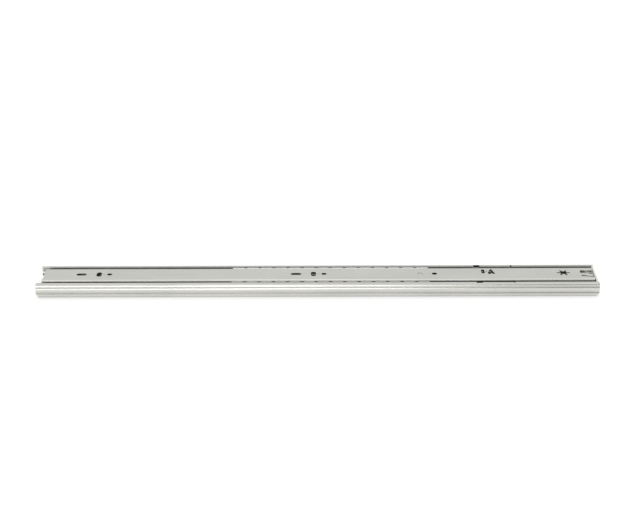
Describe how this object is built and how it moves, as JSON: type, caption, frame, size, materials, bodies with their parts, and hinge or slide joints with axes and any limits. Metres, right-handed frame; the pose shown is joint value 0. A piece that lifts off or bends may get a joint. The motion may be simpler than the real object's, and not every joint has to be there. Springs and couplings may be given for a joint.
{
  "type": "drawer slide",
  "caption": "Full-extension side-mount drawer slide: three nested steel channels rolling on caged balls, with a disconnect lever.",
  "frame": {"origin": "centre of the bounding box in plan, on the face that is screwed to the cabinet wall", "axes": "+X along the slide towards the back of the cabinet (the drawer opens towards -X), +Y across its 45 mm width, +Z from the cabinet face towards the drawer face"},
  "size_m": [0.5, 0.045, 0.0127],
  "materials": {
    "member_zinc": "bright zinc-plated, satin, with fine rolling lines",
    "cage_steel": "bright rolled strip",
    "ball_steel": "polished bearing steel",
    "rivet_steel": "zinc-plated",
    "lever_plastic": "black moulded acetal",
    "bumper_nylon": "natural nylon"
  },
  "bodies": {
    "cabinet_side": {"cabinet_member": "member_zinc", "rear_bumper": "bumper_nylon"},
    "middle": {"middle_member": "member_zinc"},
    "drawer_side": {"drawer_member": "member_zinc", "lever_rivet": "rivet_steel"},
    "lever": {"disconnect_lever": "lever_plastic"},
    "outer_cage": {"outer_ball_cage": "cage_steel", "outer_ball_near_01": "ball_steel", "outer_ball_near_02": "ball_steel", "outer_ball_near_03": "ball_steel", "outer_ball_near_04": "ball_steel", "outer_ball_near_05": "ball_steel", "outer_ball_near_06": "ball_steel", "outer_ball_near_07": "ball_steel", "outer_ball_near_08": "ball_steel", "outer_ball_near_09": "ball_steel", "outer_ball_near_10": "ball_steel", "outer_ball_far_01": "ball_steel", "outer_ball_far_02": "ball_steel", "outer_ball_far_03": "ball_steel", "outer_ball_far_04": "ball_steel", "outer_ball_far_05": "ball_steel", "outer_ball_far_06": "ball_steel", "outer_ball_far_07": "ball_steel", "outer_ball_far_08": "ball_steel", "outer_ball_far_09": "ball_steel", "outer_ball_far_10": "ball_steel"},
    "inner_cage": {"inner_ball_cage": "cage_steel", "inner_ball_near_01": "ball_steel", "inner_ball_near_02": "ball_steel", "inner_ball_near_03": "ball_steel", "inner_ball_near_04": "ball_steel", "inner_ball_near_05": "ball_steel", "inner_ball_near_06": "ball_steel", "inner_ball_near_07": "ball_steel", "inner_ball_near_08": "ball_steel", "inner_ball_near_09": "ball_steel", "inner_ball_near_10": "ball_steel", "inner_ball_near_11": "ball_steel", "inner_ball_near_12": "ball_steel", "inner_ball_near_13": "ball_steel", "inner_ball_near_14": "ball_steel", "inner_ball_far_01": "ball_steel", "inner_ball_far_02": "ball_steel", "inner_ball_far_03": "ball_steel", "inner_ball_far_04": "ball_steel", "inner_ball_far_05": "ball_steel", "inner_ball_far_06": "ball_steel", "inner_ball_far_07": "ball_steel", "inner_ball_far_08": "ball_steel", "inner_ball_far_09": "ball_steel", "inner_ball_far_10": "ball_steel", "inner_ball_far_11": "ball_steel", "inner_ball_far_12": "ball_steel", "inner_ball_far_13": "ball_steel", "inner_ball_far_14": "ball_steel"}
  },
  "joints": [
    {"name": "middle_slide", "type": "slide", "parent": "cabinet_side", "child": "middle", "axis": [-1, 0, 0], "range_m": [0, 0.21]},
    {"name": "outer_cage_roll", "type": "slide", "parent": "cabinet_side", "child": "outer_cage", "axis": [-1, 0, 0], "range_m": [0, 0.105]},
    {"name": "drawer_slide", "type": "slide", "parent": "middle", "child": "drawer_side", "axis": [-1, 0, 0], "range_m": [0, 0.29]},
    {"name": "inner_cage_roll", "type": "slide", "parent": "middle", "child": "inner_cage", "axis": [-1, 0, 0], "range_m": [0, 0.145]},
    {"name": "lever_pivot", "type": "hinge", "parent": "drawer_side", "child": "lever", "pos_m": [0.092, 0, 0.0083], "axis": [0, 0, 1], "range_deg": [0, 2.2], "stiffness_Nm_per_rad": 0.05}
  ],
  "couplings": [
    {"joint": "outer_cage_roll", "follows": "middle_slide", "ratio": 0.5},
    {"joint": "inner_cage_roll", "follows": "drawer_slide", "ratio": 0.5}
  ]
}
